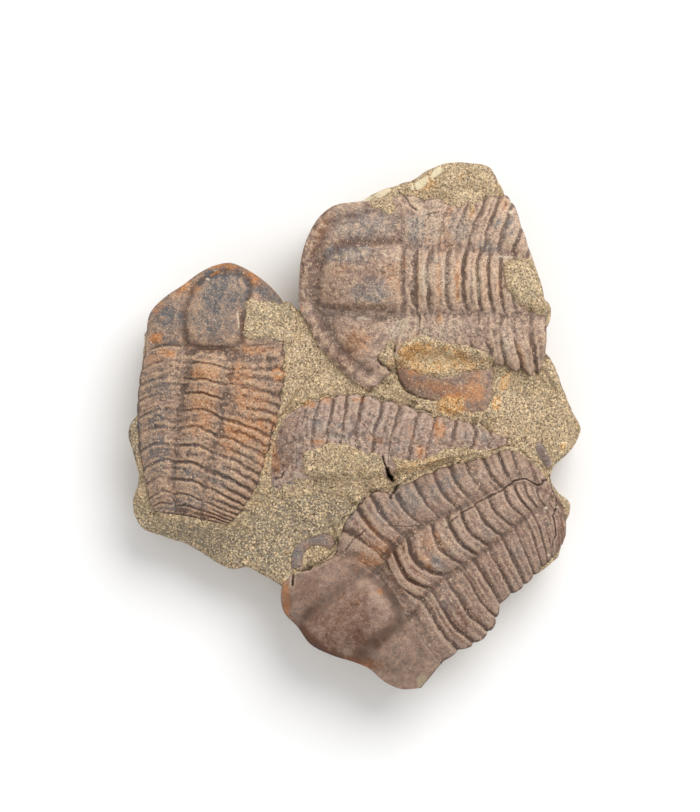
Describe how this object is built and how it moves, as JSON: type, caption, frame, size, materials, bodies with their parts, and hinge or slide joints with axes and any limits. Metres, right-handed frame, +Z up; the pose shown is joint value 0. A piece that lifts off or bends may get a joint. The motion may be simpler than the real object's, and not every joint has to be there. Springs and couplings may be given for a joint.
{
  "type": "trilobite fossil group in matrix",
  "caption": "Broken slab of tan siltstone with ellipsocephalid trilobites lying at angles in its surface and loose bits of shell beside them; it lies on a flat underside.",
  "frame": {"origin": "centre of the flat underside's bounding box, on the surface that the slab lies on", "axes": "+Z up out of the bedding surface, +Y towards the corner of bare rock beside the upper trilobite, +X towards the rear end of the upper trilobite"},
  "size_m": [0.0504, 0.0586, 0.0133],
  "materials": {
    "tan_siltstone": "rough grainy siltstone",
    "trilobite_upper_shell": "matt limonitic cast",
    "trilobite_left_shell": "matt limonitic cast",
    "trilobite_middle_shell": "matt limonitic cast",
    "trilobite_lower_shell": "matt limonitic cast",
    "cheek_fragment_surface": "smooth matt shell",
    "shell_band_surface": "smooth matt shell",
    "shell_sliver_surface": "smooth matt shell"
  },
  "bodies": {
    "root": {"matrix_slab": "tan_siltstone", "trilobite_upper": "trilobite_upper_shell", "trilobite_left": "trilobite_left_shell", "trilobite_middle": "trilobite_middle_shell", "trilobite_lower": "trilobite_lower_shell", "cheek_fragment": "cheek_fragment_surface", "shell_band": "shell_band_surface", "shell_sliver": "shell_sliver_surface"}
  },
  "joints": []
}
